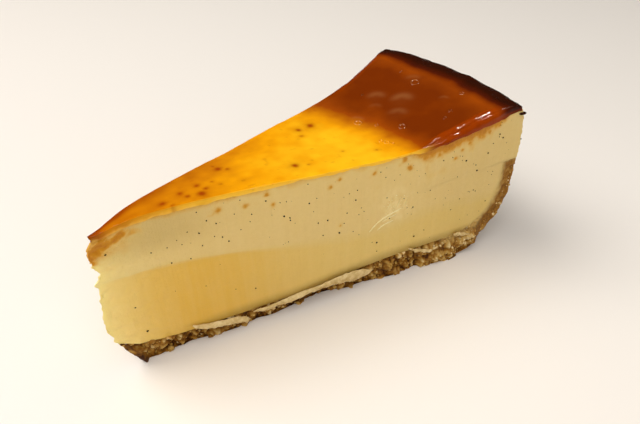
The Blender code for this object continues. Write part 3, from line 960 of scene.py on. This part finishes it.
def add_crumbs(finish):
    rng = np.random.default_rng(7)
    count = CUT_CRUMBS
    u, v = rng.random(count), rng.random(count)
    r, z = crust_section(u, v)
    keep = (r > 0.006) & ((r < 0.116) | (v < 0.4))
    r, z, v = r[keep], z[keep], v[keep]
    sizes = np.clip(rng.lognormal(math.log(CUT_CRUMB_SIZE), 0.45, len(r)), 0.0002, 0.0012)
    sizes = sizes * mix(1.0, 0.65, smooth(0.113, 0.118, r))
    side = rng.choice((-1, 1), len(r))
    torn = place(r, side * HALF_ANGLE, z)
    proud = crust_relief(torn, r)[0] + crust_foot(torn, r, side) * smooth(1.0, FOOT_SHARE, v)
    cut = on_cut(r, np.maximum(z, sizes * 0.9), side, proud + rng.uniform(-0.0004, 0.0001, len(r)))
    count = WALL_CRUMBS
    angle = rng.uniform(-0.97, 0.97, count) * HALF_ANGLE
    r, z = crust_section(rng.uniform(CRUST_FLAT_SHARE, 1.0, count), np.zeros(count))
    wall_sizes = np.clip(rng.lognormal(math.log(WALL_CRUMB_SIZE), 0.35, count), 0.0002, 0.0007)
    outside = place(r - 0.0008 - wall_sizes * 0.6, angle, np.maximum(z, wall_sizes))
    centres = np.concatenate([cut, outside])
    points, faces = scattered(ball(1), centres, np.concatenate([sizes, wall_sizes]), rng, 0.5)
    points[:, 2] = np.maximum(points[:, 2], 0.0)
    paler = smooth(*PALER_FADE, np.hypot(centres[:, 0], centres[:, 1]))
    tone = rng.normal(0.56, 0.2, len(centres)) + 0.1 * paler
    tone = np.repeat(np.clip(tone, 0.05, 1.0), len(points) // len(centres))
    show("crumbs", points, faces, finish, looks={"tone": tone})


# Pale flakes dragged along the cut: distance from the axis, lower and upper edge, in millimetres
FLAKES = (
    ((18.6, 7.6, 8.8), (20.5, 6.0, 7.9), (23.0, 5.0, 7.0), (27.0, 4.4, 6.2), (31.0, 3.2, 6.0),
     (33.8, 1.8, 5.0), (34.6, 2.6, 4.2)),
    ((36.0, 4.6, 6.6), (40.0, 3.9, 6.4), (46.0, 4.5, 6.6), (52.0, 5.2, 6.9), (58.0, 5.3, 7.5),
     (63.0, 5.0, 8.2), (68.0, 4.3, 8.4), (72.0, 3.6, 8.5), (75.0, 4.2, 7.0)),
    ((88.5, 9.3, 10.2), (91.0, 7.6, 8.9), (94.0, 6.4, 7.6), (97.0, 5.2, 6.6), (100.0, 5.8, 6.8)),
    ((105.6, 9.0, 9.9), (107.0, 7.9, 10.2), (108.8, 7.9, 9.3), (110.2, 7.3, 9.0), (112.4, 6.9, 8.0)),
)
FAR_FLAKES = (
    ((24.0, 5.0, 6.6), (28.0, 4.0, 6.2), (33.0, 3.6, 5.8), (38.0, 4.4, 5.6)),
    ((57.0, 5.0, 6.4), (61.0, 4.4, 7.2), (66.0, 4.8, 7.6), (71.0, 5.8, 7.8), (74.0, 6.6, 7.8)),
    ((93.0, 6.6, 8.2), (96.0, 5.6, 8.6), (98.0, 6.4, 8.2)),
)


def strip(corners, first, proud, thickness, rag, side):
    """A thin ragged strip along a cut face. Corners: distance, lower and upper edge, in millimetres."""
    steps, rows = 90, 10
    shares = np.linspace(0.0, 1.0, len(corners))
    along = np.linspace(0.0, 1.0, steps)
    r, low, high = (np.interp(along, shares, values) for values in np.transpose(corners) * MM)
    row = np.stack([r, low, 0 * r], axis=-1)
    low = low + waves(row, 0.0011, first, 3) * rag
    high = high + waves(row, 0.0016, first + 5, 3) * rag * 0.8
    turn = np.linspace(0.0, 2 * math.pi, 2 * rows, endpoint=False)
    ends = np.clip(np.sin(math.pi * np.linspace(0.004, 0.996, steps)), 0.0, 1.0) ** 0.25
    middle, half = (low + high) / 2, (high - low) / 2 * ends
    z = middle[:, None] + np.outer(half, np.cos(turn))
    curl = 0.8 * np.outer(waves(row, 0.006, first + 9), np.cos(turn))
    outwards = proud + thickness * (np.outer(ends, np.sin(turn)) + curl)
    distance = np.repeat(r[:, None], 2 * rows, axis=1)
    points = on_cut(distance.ravel(), z.ravel(), side, outwards.ravel())
    points = points + waves(points, 0.0009, first + 3, 2)[:, None] * thickness * 0.2
    grid = np.arange(distance.size).reshape(distance.shape)
    sides = quads(grid, np.roll(grid, -1, axis=1))[:, [0, 3, 2, 1]].tolist()
    return points, [*sides, grid[0, ::-1].tolist(), grid[-1].tolist()]


def join(parts):
    """One set of points and faces from many."""
    points, faces, count = [], [], 0
    for made, made_faces in parts:
        points.append(made)
        faces += [[p + count for p in face] for face in made_faces]
        count += len(made)
    return np.concatenate(points), faces


def add_flakes(finish):
    near = [(corners, -1) for corners in FLAKES]
    far = [(corners, 1) for corners in FAR_FLAKES]
    points, faces = join(
        strip(corners, 300 + 20 * index, 0.0007, 0.0005, 0.0006, side)
        for index, (corners, side) in enumerate(near + far)
    )
    tone = 0.84 + 0.16 * waves(points, 0.0017, 95, 3)
    show("flakes", points, faces, finish, looks={"tone": tone})


# Where the knife scraped the near cut face: distance and height along each smear, in millimetres
SCRAPES = (
    ((74.2, 21.6), (75.5, 23.1), (77.1, 24.4), (79.0, 25.3), (81.1, 26.0), (84.8, 27.0)),
    ((77.0, 21.3), (78.2, 22.4), (79.5, 22.9), (82.3, 23.3)),
    ((78.5, 24.0), (80.5, 24.8), (83.5, 25.4)),
    ((80.0, 28.2), (80.8, 30.0), (81.2, 32.0)),
    ((83.2, 28.0), (84.0, 30.2), (84.2, 31.6)),
    ((85.6, 27.9), (86.4, 29.2), (86.6, 30.4)),
)


def add_scrapes(finish):
    rng = np.random.default_rng(5)
    widths = (0.22, 0.18, 0.13, 0.1, 0.1, 0.09)
    parts = []
    for index, (line, width) in enumerate(zip(SCRAPES, widths)):
        corners = [(r, z - width, z + width) for r, z in line]
        parts.append(strip(corners, 500 + 20 * index, 0.0001, 0.00016, 0.00022, -1))
    count = 46
    r = rng.normal(82.8, 2.4, count) * MM
    z = rng.normal(29.3, 2.3, count) * MM
    centres = on_cut(r, z, -1, 0.00006)
    parts.append(scattered(ball(1), centres, rng.uniform(0.0001, 0.00026, count), rng, 0.3))
    points, faces = join(parts)
    show("scrapes", points, faces, finish)


# The largest seeds of the near cut face: distance from the axis, height and radius, in millimetres
SEEDS = ((39.0, 40.4, 0.34), (47.8, 36.7, 0.32), (64.3, 24.9, 0.34), (57.7, 30.8, 0.24), (69.8, 38.3, 0.26),
         (89.0, 26.0, 0.36), (4.1, 42.4, 0.4), (17.2, 32.4, 0.34), (7.8, 11.7, 0.44), (7.1, 21.6, 0.28),
         (25.0, 39.2, 0.28), (43.1, 43.3, 0.26), (55.0, 44.9, 0.24), (30.6, 35.8, 0.28), (110.6, 34.9, 0.26),
         (114.5, 38.1, 0.38), (65.8, 27.9, 0.24), (13.0, 37.5, 0.26), (20.4, 37.2, 0.22), (34.5, 42.0, 0.24))
# How many more are tried on each cut face and placed outside, and the usual size of a seed
CUT_SEEDS, WALL_SEEDS = 130, 26
SEED_SIZE = 0.00019


def add_seeds(finish):
    rng = np.random.default_rng(11)
    places = [(r * MM, z * MM, -1, size * MM) for r, z, size in SEEDS]
    for side in (-1, 1):
        for _ in range(CUT_SEEDS):
            r = CAKE_RADIUS * math.sqrt(rng.uniform(0.0, 0.95))
            bottom, top = layer_line(r), cream_top(r)
            in_custard = rng.random() < 0.15
            z = rng.uniform(base_top(r) + 0.002, bottom) if in_custard else rng.uniform(bottom, top - 0.001)
            bend = math.asin(np.clip((r - BEND_RADIUS) / INNER_BEND[0], 0.0, 1.0))
            inside = r < BEND_RADIUS or z > inner_bend(bend)[1]
            size = float(np.clip(rng.lognormal(math.log(SEED_SIZE), 0.4), 0.0001, 0.00034))
            if inside and r > 0.003 and (r < 0.1205 or z > CRUST_TOP + 0.001):
                places.append((r, z, side, size))
    r, z, side, sizes = (np.array(values) for values in zip(*places))
    centres = on_cut(r, z, side, 0.00002)
    angle = rng.uniform(-HALF_ANGLE, HALF_ANGLE, WALL_SEEDS)
    wall_r, wall_z = wall(rng.uniform(0.05, 0.95, WALL_SEEDS))
    centres = np.concatenate([centres, place(wall_r - 0.0002, angle, wall_z)])
    sizes = np.concatenate([sizes, rng.uniform(0.0001, 0.00028, WALL_SEEDS)])
    points, faces = scattered(ball(1), centres, sizes, rng, 0.2, 0.55)
    show("vanilla_seeds", points, faces, finish)


def bubble_disc(r, degrees, radius):
    """A fine round patch of the caramel's top with the ring that a burst bubble left, with a highlight
    painted along the ring.
    """
    rings, steps = 34, 48
    reach = radius * 2.0
    out = np.linspace(0.0, 1.0, rings)[1:]
    turn = np.linspace(0.0, 2 * math.pi, steps, endpoint=False)
    away = np.concatenate([[0.0], np.repeat(out, steps)]) * reach
    around = np.concatenate([[0.0], np.tile(turn, rings - 1)])
    distance = r + away * np.cos(around)
    angle = math.radians(degrees) + away * np.sin(around) / distance
    points = place(distance, angle, glaze_top(distance) + glaze_height(distance, angle))
    uneven = 1.0 + 0.12 * waves(points, 0.0012, 97)
    strength = 1.4 + 2.6 * smooth(0.0003, 0.0011, radius)
    ridge = hump(away * uneven, 0.12 * radius + 0.00005, radius)
    hollow = 0.35 * hump(away, 0.7 * radius)
    points[:, 2] += RING_RIDGE * (ridge - hollow) + 0.00003 - 0.0001 * smooth(0.75, 1.0, away / reach)
    grid = 1 + np.arange(rings * steps).reshape(rings, steps)
    ahead = np.roll(grid, -1, axis=1)
    faces = [(0, a, b) for a, b in zip(grid[0].tolist(), ahead[0].tolist())]
    faces += quads(grid, ahead).tolist()
    faces.append(grid[-1, ::-1].tolist())
    top = len(points)
    points = np.concatenate([points, points[-steps:] - np.array((0.0, 0.0, 0.0003))])
    distance = np.concatenate([distance, distance[-steps:]])
    angle = np.concatenate([angle, angle[-steps:]])
    looks = caramel_attributes(distance, angle, glaze_top(distance))
    # Painted highlight along the ridge, brighter in some stretches than in others.
    light = 0.5 + 0.5 * np.clip(waves(points[:top], 0.8 * radius, 98) * 3.0, -0.8, 1.0)
    looks["milk"][:top] = np.maximum(looks["milk"][:top], strength * ridge**2 * light)
    return points, faces, looks


def add_bubbles(finish):
    discs = [bubble_disc(r * MM, degrees, radius * MM) for r, degrees, radius in RINGS]
    points, faces = join(disc[:2] for disc in discs)
    looks = {key: np.concatenate([disc[2][key] for disc in discs]) for key in discs[0][2]}
    show("bubbles", points, faces, finish, looks=looks, sharp=60.0)


def add_burnt_bits(finish):
    """Charred flakes that stand off the rim, the largest over the near corner."""
    rng = np.random.default_rng(21)
    count = 20
    angle = rng.uniform(-0.95, 0.95, count) * HALF_ANGLE
    r = rng.uniform(0.1185, 0.1232, count)
    sizes = rng.uniform(0.0003, 0.0007, count)
    z = glaze_top(r) - 0.9 * sizes
    bits = scattered(ball(2), place(r, angle, z), sizes, rng, 0.35, 0.7)
    points, faces = ball(2)
    shard = points * (1.0 + 0.5 * waves(points, 0.8, 22, 2))[:, None] * np.array((0.0014, 0.0008, 0.0003))
    shard = shard + on_cut(np.array([0.1248]), 0.0486, -1, 0.0001)
    points, faces = join([bits, (shard, faces.tolist())])
    looks = {"browning": np.ones(len(points)), "burnt": np.ones(len(points))}
    show("burnt_bits", points, faces, finish, looks=looks)


def add_floor():
    bpy.ops.mesh.primitive_plane_add(size=6.0, location=(0.0, 0.0, 0.0))
    floor = bpy.context.object
    floor.name = "floor"
    finish = Nodes("floor").finish(Base_Color=(239.8, 233.6, 225.9), Roughness=0.5, Specular_IOR_Level=0.2)
    floor.data.materials.append(finish)


def add_light(name, direction, distance, size, power, colour, mirrored=True, lit=True):
    """A soft flat lamp in this direction from the slice, facing it. It may skip gloss, or all but gloss."""
    lamp = bpy.data.lights.new(name, "AREA")
    lamp.shape = "RECTANGLE"
    lamp.size, lamp.size_y = size
    lamp.energy = power
    lamp.color = colour
    holder = bpy.data.objects.new(name, lamp)
    away = Vector(direction).normalized()
    holder.location = away * distance
    holder.rotation_euler = away.to_track_quat("Z", "Y").to_euler()
    holder.visible_glossy = mirrored
    holder.visible_diffuse = lit
    bpy.context.scene.collection.objects.link(holder)


def add_camera():
    data = bpy.data.cameras.new("camera")
    data.sensor_width = 36.0
    data.lens = data.sensor_width * FOCAL_PIXELS / PHOTO_WIDTH
    data.clip_start = 0.01
    camera = bpy.data.objects.new("camera", data)
    turned = Matrix.Rotation(-CAMERA_HEADING, 4, "Z")
    turned = turned @ Matrix.Rotation(math.pi / 2 - CAMERA_PITCH, 4, "X")
    turned = turned @ Matrix.Rotation(CAMERA_ROLL, 4, "Z")
    camera.matrix_world = Matrix.Translation(CAMERA_PLACE) @ turned
    bpy.context.scene.collection.objects.link(camera)
    bpy.context.scene.camera = camera


def add_world():
    world = bpy.data.worlds.new("studio")
    world.use_nodes = True
    background = world.node_tree.nodes["Background"]
    background.inputs["Color"].default_value = (1.0, 0.97, 0.93, 1.0)
    background.inputs["Strength"].default_value = 0.045
    bpy.context.scene.world = world
    bpy.context.scene.view_settings.view_transform = "Standard"


def main():
    cream = (230, 200, 128)
    custard = (229, 197, 113)
    crumb = crumb_material()
    caramel = caramel_material("caramel", 0.14, 0.16)
    add_custard(filling_material("custard", custard, cream, (229, 180, 64)))
    add_cream(filling_material("cream", cream, custard, cream))
    caramel_cut = caramel_material("caramel_cut", 0.06, 0.0)
    add_glaze(caramel, caramel_cut)
    add_crust(crumb)
    add_crumbs(crumb)
    add_flakes(crumb)
    add_scrapes(scrape_material())
    add_seeds(seed_material())
    add_bubbles(caramel)
    add_burnt_bits(caramel_cut)
    add_floor()
    add_world()
    add_camera()
    add_light("key", (-0.45, 0.5, 0.9), 1.1, (0.7, 0.7), 9.2, (1.0, 0.97, 0.93))
    add_light("top", (-0.3, -0.35, 1.0), 1.3, (1.4, 1.4), 11.6, (1.0, 0.98, 0.95), mirrored=False)
    add_light("fill", (-0.2, -0.9, 0.6), 1.2, (1.0, 0.8), 3.1, (1.0, 0.96, 0.92), mirrored=False)
    add_light("sparkle", (0.38, -0.235, 0.9), 1.2, (0.05, 0.38), 10.0, (1.0, 0.95, 0.86), lit=False)


main()
